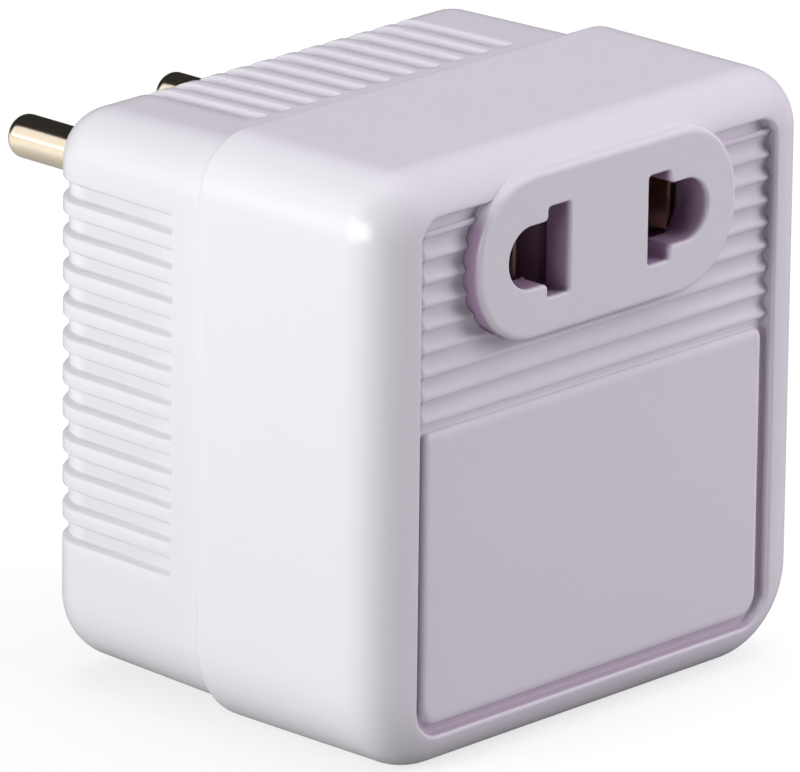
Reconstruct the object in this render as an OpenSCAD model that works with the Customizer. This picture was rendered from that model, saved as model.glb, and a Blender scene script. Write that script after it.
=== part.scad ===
// Plug-in travel voltage converter: a moulded cube with round plug pins and a two-pole outlet.
// The outlet faces -Y, the plug pins point to +Y, and the cover's base rests on Z = 0.
// Inside the modules, Y counts from the rim of the front cover towards the pins.

/* [Front cover] */
// Width of the front cover
cover_w = 54.6; // [52:0.2:60]
// Height of the front cover
cover_h = 53.8; // [52:0.2:60]
// Depth of the front cover, from its rim to its back edge
cover_d = 22.2; // [18:0.2:26]
// Radius of the upper corners, seen from the front
cover_r_top = 5.6; // [5:0.1:8]
// Radius of the lower corners, seen from the front
cover_r_bottom = 8.5; // [6:0.1:10]
// Rounding of the front edge
cover_front_round = 4.5; // [2:0.1:4.8]
// Rounding of the back edge
cover_back_round = 0.9; // [0.5:0.1:1.8]
// Wall thickness of both shells
wall = 2.2; // [1.6:0.1:2.6]

/* [Front recess] */
// Width of the rim beside the recess
rim_side = 4.9; // [4:0.1:8]
// Width of the rim above the recess
rim_top = 3.7; // [3:0.1:6]
// Width of the rim below the recess
rim_bottom = 3.6; // [3:0.1:6]
// Depth of the recess's floor
recess_depth = 1.2; // [0.9:0.05:1.6]
// Radius of the recess's upper corners
recess_r_top = 2; // [1:0.1:4]
// Radius of the recess's lower corners
recess_r_bottom = 3; // [2:0.1:5]
// Height of the flat panel
panel_h = 26.4; // [22:0.2:28]
// Channel around the flat panel
panel_gap = 0.9; // [0.5:0.1:1.5]
// How far the panel's face lies behind the rim
panel_sink = 0.45; // [0.2:0.05:0.8]
// Number of ridges above the panel
ridge_count = 9; // [5:1:9]
// Distance from ridge to ridge
ridge_pitch = 2.08; // [1.6:0.02:2.1]
// Width of a ridge at its crest
ridge_w = 0.3; // [0.2:0.05:0.6]
// Height of a ridge over the recess's floor
ridge_height = 0.45; // [0.3:0.05:0.6]
// Channel between the panel and the lowest ridge's middle
ridge_gap = 1.1; // [0.6:0.1:1.5]

/* [Outlet] */
// Width of the raised outlet face
face_w = 32.6; // [31:0.2:36]
// Height of the raised outlet face
face_h = 14.8; // [14:0.1:16]
// Corner radius of the outlet face
face_r = 7; // [4:0.1:7]
// How far the outlet face stands out of the rim
face_proud = 0.85; // [0.4:0.05:1.5]
// Wall thickness of the outlet face
face_wall = 2.85; // [2.4:0.05:3.2]
// How far the outlet face's plate overlaps its window in the cover
face_overlap = 2; // [1.5:0.1:2]
// Wall thickness of the neck behind the plate
neck_wall = 1.1; // [0.8:0.1:1.1]
// Rounding of the outlet face's edge
face_round = 0.5; // [0.2:0.1:0.8]
// Distance of the outlet's middle from the cover's top
outlet_drop = 9.3; // [9:0.1:11]
// Distance between the flat-blade slots
blade_spacing = 12.7; // [12:0.1:13]
// Width of a flat-blade slot
slot_w = 2.8; // [2:0.1:3.2]
// Height of a flat-blade slot
slot_h = 8.1; // [7:0.1:8.4]
// Radius of the round-pin opening beside the slot
hole_r = 2.8; // [2.5:0.05:3]
// Distance between the middles of the round-pin openings
hole_spacing = 19.6; // [19:0.1:20]

/* [Rear housing] */
// Depth of the rear housing behind the cover's back edge
rear_d = 20; // [18:0.2:26]
// How far the rear housing's sides are set in
step_side = 1; // [0.8:0.1:1.6]
// How far the rear housing's top is set in
step_top = 1.3; // [0.8:0.1:1.6]
// How far the rear housing's underside is set in
step_bottom = 1.1; // [0.8:0.1:1.6]
// How far each side of the housing draws in from the cover to its back
rear_draft = 0.45; // [0:0.05:0.6]
// Radius of the upper corners, seen from the back
rear_r_top = 5.2; // [4.8:0.1:7]
// Radius of the lower corners, seen from the back
rear_r_bottom = 6.8; // [5:0.1:7]
// Rounding of the back edge
rear_round = 4.6; // [2:0.1:4.8]
// Length of the tongue that enters the cover
tongue_l = 3; // [2:0.1:5]
// Number of grip grooves on each side
groove_count = 11; // [5:1:11]
// Distance from groove to groove
groove_pitch = 3.1; // [2.6:0.05:3.2]
// Width of a groove
groove_w = 1.4; // [0.8:0.1:1.8]
// Depth of a groove
groove_depth = 0.75; // [0.3:0.05:1]
// Plain band between the cover and the grooves
groove_band = 3.9; // [2:0.1:6]
// How far the middle side groove lies above the middle of the housing
groove_lift = 2.7; // [0:0.1:4]

/* [Plug pins] */
// Diameter of a plug pin
pin_d = 4; // [3.6:0.1:4.8]
// Length of a plug pin outside the housing
pin_l = 19.5; // [15:0.5:21]
// Distance between the plug pins
pin_spacing = 18.6; // [17:0.1:19.5]
// Distance of the plug pins from the cover's top
pin_drop = 11.9; // [9.5:0.1:12]
// Rounding of a plug pin's tip
pin_round = 1.2; // [0.5:0.1:1.6]
// Radius of the shoulder inside the housing's wall
shoulder_r = 2.4; // [2.2:0.1:2.6]
// Radius of the collar behind the housing's wall
collar_r = 3.2; // [2.8:0.1:3.6]
// Thickness of the collar
collar_t = 1.5; // [1:0.1:2.5]
// Radius of the riveted shank of a pin
shank_r = 1.5; // [1.2:0.1:1.7]
// Thickness of the clamp bar
clamp_t = 2; // [1.5:0.1:3]
// Height of the clamp bar
clamp_h = 9; // [8:0.2:10]
// Thickness of a solder lug
lug_t = 0.5; // [0.3:0.1:0.8]
// Length of a solder lug below its pin
lug_l = 9.5; // [8:0.1:9.8]

/* [Contacts] */
// Thickness of the contact strip
contact_t = 0.4; // [0.3:0.05:0.6]
// Height of the contact strip
contact_h = 6.4; // [5:0.1:7.5]
// Clear space for a round pin between the two leaves
contact_span = 4.2; // [4.1:0.05:4.5]
// How far the outer leaf's tip is bent out
contact_flare = 0.4; // [0.2:0.05:0.6]
// Length of the solder tail behind the holder
tail_l = 2.6; // [1.5:0.1:4]
// Width of the contact holder
holder_w = 30.8; // [30:0.2:32]
// Height of the contact holder
holder_h = 11; // [10.6:0.1:11.4]
// Depth of the contact holder
holder_d = 13.6; // [12:0.1:15]
// Wall thickness of the contact holder
holder_wall = 1.2; // [0.9:0.1:1.2]
// Floor thickness of the contact holder
holder_floor = 2; // [1.2:0.1:3]

/* [Transformer] */
// Width of the middle leg of the laminations
leg_w = 10.6; // [9:0.2:11.4]
// Thickness of the lamination stack
stack = 14; // [10:0.5:16]
// Height of the ribs that carry the core
shelf_h = 3.3; // [2.5:0.1:3.6]
// Thickness of the bobbin's tube
tube_t = 0.8; // [0.6:0.1:1.2]
// Thickness of the bobbin's flanges
flange_t = 1; // [0.8:0.1:1.5]
// How far the flanges stand out of the coil
flange_lip = 0.25; // [0.2:0.05:0.4]
// Thickness of the tape between the windings
tape_t = 0.2; // [0.1:0.05:0.4]
// Thickness of the outer wrap
wrap_t = 0.25; // [0.1:0.05:0.4]
// Thickness of the steel strap around the core
strap_t = 0.4; // [0.3:0.1:0.5]
// Width of the strap
strap_w = 8; // [5:0.5:10]
// Radius of a solder terminal
terminal_r = 0.45; // [0.3:0.05:0.6]
// Height of a solder terminal above the flange
terminal_l = 5; // [4:0.1:6]
// Distance between neighbouring solder terminals
terminal_pitch = 4.1; // [3.6:0.1:4.2]
// Radius of the thermal fuse
fuse_r = 1.6; // [1.2:0.1:1.8]
// Length of the thermal fuse
fuse_l = 9; // [7:0.2:10]
// Radius of an insulated wire
wire_r = 0.7; // [0.5:0.05:0.8]

/* [Screws] */
// Radius of a screw's shank
screw_r = 0.8; // [0.7:0.05:1]
// Radius of a screw's head
head_r = 1.7; // [1.5:0.05:1.9]
// Height of a screw's head
head_h = 1.3; // [1:0.1:1.6]
// Length of a housing screw
screw_l = 12; // [8:0.5:14]
// Radius of the posts in the front cover
post_r = 2.2; // [1.9:0.1:2.4]
// Depth of the screw wells in the back
well_depth = 5; // [3:0.2:6]
// Length of the screw bosses on the back wall
boss_l = 5; // [4:0.2:6]

/* [Hidden] */
$fn = 72;

// Overshoot of a cut, clearance of a loose fit, clearance of a close fit, depth of a buried foot, and what a
// flute leaves above the recess's floor
past = 1;
fit_gap = 0.15;
close_gap = 0.1;
foot = 0.5;
flute_floor = 0.03;

// Heights of the outlet, the pins and the recess above the base
outlet_z = cover_h - outlet_drop;
pin_z = cover_h - pin_drop;
recess_w = cover_w - 2 * rim_side;
recess_z = rim_bottom;
recess_h = cover_h - rim_top - rim_bottom;

// Faces along Y
front_inner_y = recess_depth + wall;
face_inner_y = face_wall - face_proud;
back_y = cover_d + rear_d;
back_inner_y = back_y - wall;
rim_y = (face_proud - back_y - pin_l) / 2;

// Rear housing seen from the back
rear_w = cover_w - 2 * step_side;
rear_z0 = step_bottom;
rear_z1 = cover_h - step_top;
rear_edge_r = min(rear_round, rear_r_top - rear_draft - close_gap);
side_groove_z = (rear_z0 + rear_z1) / 2 + groove_lift;

// Screw posts near the corners: on the flat of the back, inside the walls, clear of core and holder
post_clear = 0.8;
well_gap = 0.25;
well_r = head_r + well_gap;
well_edge = 0.6;
well_wall = 1.2;
post_flat = rear_edge_r + rear_draft + well_r + well_edge;
post_inset = wall + post_r + post_clear;
core_half_w = 1.5 * leg_w;
post_x_low = max(
    min(rear_w / 2 - post_flat, rear_w / 2 - post_inset),
    core_half_w + close_gap / 2 + strap_t + post_r + fit_gap
);
post_x_high = max(
    min(rear_w / 2 - post_flat - groove_depth, rear_w / 2 - post_inset),
    holder_w / 2 + post_r + fit_gap
);
post_z_low = rear_z0 + max(post_flat, post_inset);
post_z_high = rear_z1 - max(post_flat, post_inset);
post_end_y = back_inner_y - boss_l;
pilot_gap = 0.05;
pilot_r = screw_r + pilot_gap;
pilot_spare = 1;
seat_y = back_y - well_depth;

// Pins, from the wall's inner face towards the front
collar_y = back_inner_y - collar_t;
clamp_y = collar_y - clamp_t;
lug_y = clamp_y - lug_t;
rivet_over = 0.7;
rivet_r = shank_r + rivet_over;
rivet_t = 0.8;
lug_over = 1.5;
lug_r = shank_r + lug_over;
lug_w = 2.8;
clamp_post_r = 2.4;
clamp_pilot = wall / 2;

// Outlet, contacts and their holder
holder_back_y = front_inner_y + holder_d;
holder_floor_y = holder_back_y - holder_floor;
pocket_in = 4.4;
pocket_out = holder_w / 2 - holder_wall;
pocket_h = holder_h - 2 * holder_wall;
contact_tip_y = front_inner_y + fit_gap;
flare_l = 2;
contact_bend_y = contact_tip_y + flare_l;
leaf_shift = 0.2;
leaf_in = hole_spacing / 2 - contact_span / 2 - contact_t - leaf_shift;
leaf_out = leaf_in + contact_span + 2 * contact_t;
contact_x = (leaf_in + leaf_out) / 2;
tail_w = 2.2;
tail_t = 0.5;
holder_post_r = 2.4;
holder_post_back = 6;
holder_post_end_y = holder_floor_y - holder_post_back;
holder_screw_l = 12;

// Transformer
window_w = leg_w / 2;
window_h = 1.5 * leg_w;
core_z = wall + shelf_h;
window_z = core_z + leg_w / 2;
core_split_z = core_z + 2 * leg_w;
core_top_z = core_z + 2.5 * leg_w;
tube_out = fit_gap + tube_t;
build = window_w - tube_out - flange_lip - fit_gap;
layer = (build - tape_t - wrap_t) / 2;
flange_x = leg_w / 2 + tube_out + build + flange_lip;
flange_y = stack / 2 + tube_out + build + flange_lip;
coil_gap = 0.3;
core_mid_y = front_inner_y + coil_gap + flange_y;
core_front_y = core_mid_y - stack / 2;
core_back_y = core_mid_y + stack / 2;
coil_z = window_z + flange_t;
coil_h = window_h - close_gap - 2 * flange_t;
flange_top_z = window_z + window_h - close_gap;
wrap_back_y = core_mid_y + stack / 2 + tube_out + build;
rib_t = 2;
rib_x = core_half_w - leg_w / 4 - rib_t / 2;
rib_lift = 3;
rib_z = core_z + rib_lift;
rib_h = 2 * leg_w;
shelf_x = leg_w * 0.6;
strap_tab = 4;

// Terminals, fuse and wires
terminal_back = 2.6;
terminal_y = core_back_y + terminal_back;
terminal_z = flange_top_z + terminal_l;
fuse_x = -1.5 * terminal_pitch;
fuse_y = wrap_back_y + close_gap + fuse_r;
fuse_lift = 2;
fuse_z = coil_z + fuse_lift;
fuse_wire_r = 0.4;
fuse_stub = 2.2;
lug_mid_y = lug_y + lug_t / 2;
lug_end_z = pin_z - lug_l;
wire_run = 2;
wire_bow = 0.9;
wire_sides = 8;
wire_steps = 5;

// A quarter disc in the quadrant given by the signs of right and up
module quarter_disc(r, right, up) {
    intersection() {
        circle(r);
        translate([right < 0 ? -r : 0, up < 0 ? -r : 0]) square(r);
    }
}

// Section through an edge: out from 0 to reach, back from 0 to depth, with both outer corners round; the
// outer side moves out by flare between them
module edge_section(reach, depth, front_round, back_round, flare = 0) {
    back = reach + flare;
    polygon([[0, front_round], [reach, front_round], [back, depth - back_round], [0, depth - back_round]]);
    if (front_round > 0) {
        square([reach - front_round, front_round]);
        translate([reach - front_round, front_round]) quarter_disc(front_round, 1, -1);
    }
    if (back_round > 0) {
        translate([0, depth - back_round]) square([back - back_round, back_round]);
        translate([back - back_round, depth - back_round]) quarter_disc(back_round, 1, 1);
    }
}

// A corner of a rounded block, turned about an axis along Y, from the angle a
module block_corner(r, depth, front, back, flare, a) {
    rotate([-90, 0, 0]) rotate([0, 0, a]) rotate_extrude(angle = 90)
        edge_section(r, depth, front, back, flare);
}

// A block seen along Y as a rectangle with round corners, with rounded front and back edges; its sides move
// out by flare towards the back
module rounded_block(w, z0, z1, r_top, r_bottom, y0, depth, front_round = 0, back_round = 0, flare = 0) {
    half = w / 2;
    r_side = max(r_top, r_bottom);
    low = z0 + r_bottom;
    high = z1 - r_top;
    translate([0, y0, 0]) {
        translate([half - r_bottom, 0, low])
            block_corner(r_bottom, depth, front_round, back_round, flare, 0);
        translate([r_bottom - half, 0, low])
            block_corner(r_bottom, depth, front_round, back_round, flare, 90);
        translate([r_top - half, 0, high])
            block_corner(r_top, depth, front_round, back_round, flare, 180);
        translate([half - r_top, 0, high])
            block_corner(r_top, depth, front_round, back_round, flare, 270);
        translate([half - r_side, 0, low]) linear_extrude(high - low)
            edge_section(r_side, depth, front_round, back_round, flare);
        mirror([1, 0, 0]) translate([half - r_side, 0, low]) linear_extrude(high - low)
            edge_section(r_side, depth, front_round, back_round, flare);
        translate([0, 0, high]) rotate([0, -90, 0]) linear_extrude(w - 2 * r_top, center = true)
            edge_section(r_top, depth, front_round, back_round, flare);
        translate([0, 0, low]) rotate([0, 90, 0]) linear_extrude(w - 2 * r_bottom, center = true)
            edge_section(r_bottom, depth, front_round, back_round, flare);
        translate([r_side - half, 0, low]) cube([w - 2 * r_side, depth, high - low]);
    }
}

// A disc-ended plate or a drilled hole along Y, from y0 over a length
module y_cylinder(r, y0, length) {
    translate([0, y0, 0]) rotate([-90, 0, 0]) cylinder(r = r, h = length);
}

// Puts a child at the four screw posts
module at_posts() {
    for (side = [-1, 1]) {
        translate([side * post_x_low, 0, post_z_low]) children();
        translate([side * post_x_high, 0, post_z_high]) children();
    }
}

// Moves the finished pieces from the rim's frame to the frame of the whole object
module placed() {
    translate([0, rim_y, 0]) children();
}

// The ridges: a slab along X whose front is cut by round flutes
module ridge_bed() {
    z0 = recess_z + panel_gap + panel_h + ridge_gap;
    flute_w = ridge_pitch - ridge_w;
    flute_depth = ridge_height - flute_floor;
    flute_r = (flute_w * flute_w / 4 + flute_depth * flute_depth) / (2 * flute_depth);
    crest_y = recess_depth - ridge_height;
    rotate([90, 0, 90]) linear_extrude(recess_w, center = true) difference() {
        translate([crest_y, z0 - ridge_w / 2])
            square([ridge_height + foot, (ridge_count - 1) * ridge_pitch + ridge_w]);
        for (k = [0 : ridge_count - 2])
            translate([crest_y + flute_depth - flute_r, z0 + (k + 0.5) * ridge_pitch]) circle(flute_r);
    }
}

// A block with the outline of the outlet face set in by d, from y0 to y1, with a rounded front edge
module face_block(d, y0, y1, front_round = 0) {
    r = face_r - d;
    rounded_block(face_w - 2 * d, outlet_z - face_h / 2 + d, outlet_z + face_h / 2 - d, r, r,
        y0, y1 - y0, front_round, 0);
}

// What is cut out of the front, leaving the flat panel and the ridges around the outlet face's seat
module front_relief() {
    panel_z = recess_z + panel_gap;
    difference() {
        rounded_block(recess_w, recess_z, recess_z + recess_h, recess_r_top, recess_r_bottom,
            -past, recess_depth + past);
        rounded_block(recess_w - 2 * panel_gap, panel_z, panel_z + panel_h,
            panel_gap, max(recess_r_bottom - panel_gap, panel_gap), panel_sink, recess_depth);
        ridge_bed();
    }
    face_block(-close_gap, -face_proud - past, recess_depth);
    face_block(face_overlap, recess_depth - past, front_inner_y + past);
}

// One opening of the outlet on the right side: a blade slot joined to a round-pin hole
module outlet_opening() {
    slot_x = blade_spacing / 2;
    hole_x = hole_spacing / 2;
    translate([0, -face_proud - past, outlet_z]) rotate([-90, 0, 0])
        linear_extrude(face_wall + 2 * past) {
            translate([slot_x - slot_w / 2, -slot_h / 2]) square([slot_w, slot_h]);
            translate([slot_x, -hole_r]) square([hole_x - slot_x, 2 * hole_r]);
            translate([hole_x, 0]) quarter_disc(hole_r, 1, 1);
            translate([hole_x, 0]) quarter_disc(hole_r, 1, -1);
        }
}

// The outlet face: a plate that sits on the recess's floor, a hollow neck in the window, and a screw post
module outlet_face() color([0.91, 0.9, 0.94]) placed() difference() {
    union() {
        difference() {
            union() {
                face_block(0, -face_proud, recess_depth, face_round);
                face_block(face_overlap + close_gap, recess_depth - foot, front_inner_y);
            }
            face_block(face_overlap + close_gap + neck_wall, face_inner_y, front_inner_y + past);
        }
        translate([0, 0, outlet_z])
            y_cylinder(holder_post_r, face_inner_y - foot, holder_post_end_y - face_inner_y + foot);
    }
    outlet_opening();
    mirror([1, 0, 0]) outlet_opening();
    translate([0, 0, outlet_z])
        y_cylinder(pilot_r, holder_back_y - holder_screw_l - pilot_spare, holder_screw_l);
}

// Ribs inside the cover: two that bear on the core's front, two that carry it
module cover_ribs() {
    for (side = [-1, 1]) {
        translate([side * rib_x - rib_t / 2, front_inner_y - foot, rib_z])
            cube([rib_t, core_front_y - close_gap - front_inner_y + foot, rib_h]);
        translate([side * shelf_x - rib_t / 2, front_inner_y - foot, wall - foot])
            cube([rib_t, cover_d - tongue_l - fit_gap - front_inner_y + foot, shelf_h + foot]);
    }
}

module front_cover() color([0.93, 0.92, 0.95]) placed() difference() {
    union() {
        difference() {
            rounded_block(cover_w, 0, cover_h, cover_r_top, cover_r_bottom, 0, cover_d,
                cover_front_round, cover_back_round);
            front_relief();
            rounded_block(cover_w - 2 * wall, wall, cover_h - wall, cover_r_top - wall,
                cover_r_bottom - wall, front_inner_y, cover_d - front_inner_y + past);
        }
        at_posts() y_cylinder(post_r, front_inner_y - foot, post_end_y - front_inner_y + foot);
        cover_ribs();
    }
    at_posts() y_cylinder(pilot_r, post_end_y - screw_l, screw_l + past);
}

// Side profile of a groove's floor: the housing's own back edge, set in by the groove's depth
module groove_section() {
    start = groove_band;
    difference() {
        translate([0, start]) square([groove_depth + rear_edge_r + past, rear_d - start + past]);
        translate([-past, 0]) edge_section(past + rear_edge_r, rear_d, 0, rear_edge_r, -rear_draft);
    }
}

// A row of grooves along Y, cut into a face whose outward direction is +X, with its middle at Z = 0
module groove_row(face_x) {
    for (k = [0 : groove_count - 1])
        translate([face_x - groove_depth - rear_edge_r, cover_d, (k - (groove_count - 1) / 2) * groove_pitch])
            linear_extrude(groove_w, center = true) groove_section();
}

module rear_grooves() {
    for (side = [0, 1])
        mirror([side, 0, 0]) translate([0, 0, side_groove_z]) groove_row(rear_w / 2);
    rotate([0, -90, 0]) groove_row(rear_z1);
    rotate([0, 90, 0]) groove_row(-rear_z0);
}

// The hollow of the rear housing: straight through the tongue, then drawing in as the outside does
module rear_hollow() {
    w = rear_w - 2 * wall;
    depth = back_inner_y - cover_d;
    rounded_block(w, rear_z0 + wall, rear_z1 - wall, rear_r_top - wall, rear_r_bottom - wall,
        cover_d - tongue_l - past, tongue_l + past);
    rounded_block(w, rear_z0 + wall, rear_z1 - wall, rear_r_top - wall, rear_r_bottom - wall,
        cover_d, depth, 0, 0, -rear_draft * depth / rear_d);
}

// The tongue that enters the cover's open back
module rear_tongue() {
    w = cover_w - 2 * wall - 2 * fit_gap;
    rounded_block(w, wall + fit_gap, cover_h - wall - fit_gap, cover_r_top - wall - fit_gap,
        cover_r_bottom - wall - fit_gap, cover_d - tongue_l, tongue_l + foot);
}

module rear_housing() color([0.94, 0.93, 0.96]) placed() difference() {
    union() {
        difference() {
            union() {
                difference() {
                    rounded_block(rear_w, rear_z0, rear_z1, rear_r_top, rear_r_bottom, cover_d, rear_d,
                        0, rear_edge_r, -rear_draft);
                    rear_grooves();
                }
                rear_tongue();
            }
            rear_hollow();
        }
        at_posts() y_cylinder(well_r + well_wall, post_end_y, boss_l + foot);
        translate([0, 0, pin_z]) y_cylinder(clamp_post_r, collar_y, collar_t + foot);
        for (side = [-1, 1])
            translate([side * rib_x - rib_t / 2, core_back_y + close_gap, rib_z])
                cube([rib_t, back_inner_y - core_back_y - close_gap + foot, rib_h]);
    }
    at_posts() {
        y_cylinder(well_r, seat_y, well_depth + past);
        y_cylinder(screw_r + fit_gap, post_end_y - past, seat_y - post_end_y + 2 * past);
    }
    for (x = [-pin_spacing / 2, pin_spacing / 2])
        translate([x, 0, pin_z]) y_cylinder(shoulder_r + close_gap, back_inner_y - past, wall + 2 * past);
    translate([0, 0, pin_z]) y_cylinder(pilot_r, collar_y - past, collar_t + past + clamp_pilot);
}

// A plug pin: round tip, plain barrel, shoulder in the wall, collar, shank and riveted end
module plug_pin(x) color([0.82, 0.79, 0.74]) placed() translate([x, 0, pin_z]) rotate([-90, 0, 0])
    rotate_extrude() {
        translate([0, back_y]) edge_section(pin_d / 2, pin_l, 0, pin_round);
        translate([0, back_inner_y]) square([shoulder_r, wall]);
        translate([0, collar_y]) square([collar_r, collar_t]);
        translate([0, lug_y]) square([shank_r, collar_y - lug_y]);
        translate([0, lug_y - rivet_t]) edge_section(rivet_r, rivet_t, rivet_t / 2, 0);
    }

// A solder lug: a ring under the rivet and a tail that hangs down
module pin_lug(x) color([0.78, 0.78, 0.8]) placed() translate([x, 0, pin_z]) difference() {
    union() {
        y_cylinder(lug_r, lug_y, lug_t);
        translate([-lug_w / 2, lug_y, -lug_l]) cube([lug_w, lug_t, lug_l]);
    }
    y_cylinder(shank_r + close_gap, lug_y - past, lug_t + 2 * past);
}

module pin_clamp() color([0.25, 0.25, 0.27]) placed() translate([0, 0, pin_z]) difference() {
    rounded_block(pin_spacing + clamp_h, -clamp_h / 2, clamp_h / 2, clamp_h / 3, clamp_h / 3,
        clamp_y, clamp_t);
    for (x = [-pin_spacing / 2, pin_spacing / 2])
        translate([x, 0, 0]) y_cylinder(shank_r + close_gap, clamp_y - past, clamp_t + 2 * past);
    y_cylinder(screw_r + fit_gap, clamp_y - past, clamp_t + 2 * past);
}

// A pan-head screw along Y: its head sits on the plane y0, and its shank runs by l in the direction dir
module screw(y0, l, dir) {
    cross_w = 0.7;
    cross_l = 1.4 * head_r;
    cross_d = 0.7;
    translate([0, y0, 0]) rotate([-90 * dir, 0, 0]) {
        cylinder(r = screw_r, h = l);
        difference() {
            rotate([180, 0, 0]) rotate_extrude() edge_section(head_r, head_h, 0, head_h / 2);
            for (a = [0, 90]) rotate([0, 0, a])
                translate([-cross_l / 2, -cross_w / 2, -head_h - past])
                    cube([cross_l, cross_w, cross_d + past]);
        }
    }
}

module pin_clamp_screw() color([0.7, 0.7, 0.72]) placed()
    translate([0, 0, pin_z]) screw(clamp_y, clamp_t + collar_t + clamp_pilot - 0.2, 1);

module housing_screws() color([0.7, 0.7, 0.72]) placed()
    at_posts() screw(seat_y, screw_l, -1);

module contact_holder_screw() color([0.7, 0.7, 0.72]) placed()
    translate([0, 0, outlet_z]) screw(holder_back_y, holder_screw_l, -1);

// One contact on the right side: a strip bent into a channel, with a tail through the holder's floor
module outlet_contact() {
    floor_y = holder_floor_y;
    translate([0, 0, outlet_z]) {
        linear_extrude(contact_h, center = true) polygon([
            [leaf_in, contact_tip_y],
            [leaf_in, floor_y],
            [leaf_out, floor_y],
            [leaf_out, contact_bend_y],
            [leaf_out + contact_flare, contact_tip_y],
            [leaf_out + contact_flare - contact_t, contact_tip_y],
            [leaf_out - contact_t, contact_bend_y],
            [leaf_out - contact_t, floor_y - contact_t],
            [leaf_in + contact_t, floor_y - contact_t],
            [leaf_in + contact_t, contact_tip_y]
        ]);
        translate([contact_x - tail_w / 2, floor_y - contact_t / 2, -tail_t / 2])
            cube([tail_w, contact_t / 2 + holder_floor + tail_l, tail_t]);
    }
}

module outlet_contact_left() color([0.72, 0.55, 0.28]) placed() mirror([1, 0, 0]) outlet_contact();
module outlet_contact_right() color([0.72, 0.55, 0.28]) placed() outlet_contact();

// The tray behind the outlet: two pockets, a bore for the cover's post and slits for the tails
module contact_holder() color([0.88, 0.86, 0.82]) placed() translate([0, 0, outlet_z]) difference() {
    translate([-holder_w / 2, front_inner_y, -holder_h / 2]) cube([holder_w, holder_d, holder_h]);
    for (side = [0, 1]) mirror([side, 0, 0]) {
        translate([pocket_in, front_inner_y - past, -pocket_h / 2])
            cube([pocket_out - pocket_in, holder_floor_y - front_inner_y + past, pocket_h]);
        translate([contact_x - tail_w / 2 - fit_gap, holder_floor_y - past, -tail_t / 2 - fit_gap])
            cube([tail_w + 2 * fit_gap, holder_floor + 2 * past, tail_t + 2 * fit_gap]);
    }
    y_cylinder(holder_post_r + close_gap, front_inner_y - past,
        holder_post_end_y + close_gap - front_inner_y + past);
    y_cylinder(screw_r + fit_gap, front_inner_y, holder_d + past);
}

module core_e_stack() color([0.45, 0.46, 0.48]) placed() difference() {
    translate([-core_half_w, core_front_y, core_z]) cube([2 * core_half_w, stack, 2 * leg_w]);
    for (x = [-leg_w, leg_w / 2])
        translate([x, core_front_y - past, window_z]) cube([window_w, stack + 2 * past, window_h + past]);
}

module core_i_stack() color([0.48, 0.49, 0.51]) placed()
    translate([-core_half_w, core_front_y, core_split_z]) cube([2 * core_half_w, stack, leg_w / 2]);

// A band around the core, open below between its two folded tabs
module core_strap() color([0.62, 0.63, 0.65]) placed() {
    in_w = 2 * (core_half_w + close_gap / 2);
    in_h = core_top_z - core_z + close_gap;
    translate([0, core_mid_y + strap_w / 2, core_z - close_gap / 2]) rotate([90, 0, 0])
        linear_extrude(strap_w) difference() {
            translate([-in_w / 2 - strap_t, -strap_t]) square([in_w + 2 * strap_t, in_h + 2 * strap_t]);
            translate([-in_w / 2, 0]) square([in_w, in_h]);
            translate([strap_tab - in_w / 2, -strap_t - past])
                square([in_w - 2 * strap_tab, strap_t + 2 * past]);
        }
}

// A rectangle around the middle leg, grown by g, with corners of radius r
module leg_outline(g, r) {
    x = leg_w / 2 + g;
    y = stack / 2 + g;
    translate([-x, r - y]) square([2 * x, 2 * (y - r)]);
    for (side = [-1, 1]) {
        translate([r - x, side < 0 ? -y : y - r]) square([2 * (x - r), r]);
        for (end = [-1, 1]) translate([side * (x - r), end * (y - r)]) quarter_disc(r, side, end);
    }
}

module bobbin() color([0.9, 0.9, 0.86]) placed() translate([0, core_mid_y, 0]) difference() {
    union() {
        translate([-leg_w / 2 - tube_out, -stack / 2 - tube_out, window_z])
            cube([leg_w + 2 * tube_out, stack + 2 * tube_out, flange_top_z - window_z]);
        for (z = [window_z, flange_top_z - flange_t])
            translate([-flange_x, -flange_y, z]) cube([2 * flange_x, 2 * flange_y, flange_t]);
    }
    translate([-leg_w / 2 - fit_gap, -stack / 2 - fit_gap, window_z - past])
        cube([leg_w + 2 * fit_gap, stack + 2 * fit_gap, window_h + 2 * past]);
    for (k = [-1.5 : 1.5])
        translate([k * terminal_pitch, terminal_y - core_mid_y, flange_top_z - flange_t - past])
            cylinder(r = terminal_r + close_gap, h = flange_t + 2 * past);
}

module bobbin_terminals() color([0.8, 0.8, 0.82]) placed()
    for (k = [-1.5 : 1.5])
        translate([k * terminal_pitch, terminal_y, flange_top_z - flange_t])
            cylinder(r = terminal_r, h = flange_t + terminal_l);

// A layer of the coil between two distances from the leg
module coil_layer(g0, r0, g1, r1) {
    translate([0, core_mid_y, coil_z]) linear_extrude(coil_h - close_gap) difference() {
        leg_outline(g1, r1);
        leg_outline(g0, r0);
    }
}

tape_in = tube_out + layer;
outer_in = tape_in + tape_t;
wrap_in = outer_in + layer;

module winding_inner() color([0.72, 0.36, 0.2]) placed() difference() {
    translate([0, core_mid_y, coil_z]) linear_extrude(coil_h - close_gap) leg_outline(tape_in, layer);
    translate([-leg_w / 2 - tube_out, core_mid_y - stack / 2 - tube_out, coil_z - past])
        cube([leg_w + 2 * tube_out, stack + 2 * tube_out, coil_h + 2 * past]);
}

module winding_tape() color([0.93, 0.85, 0.4]) placed()
    coil_layer(tape_in, layer, outer_in, layer + tape_t);
module winding_outer() color([0.72, 0.36, 0.2]) placed()
    coil_layer(outer_in, layer + tape_t, wrap_in, 2 * layer + tape_t);
module winding_wrap() color([0.95, 0.82, 0.25]) placed()
    coil_layer(wrap_in, 2 * layer + tape_t, tube_out + build, build);

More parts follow.
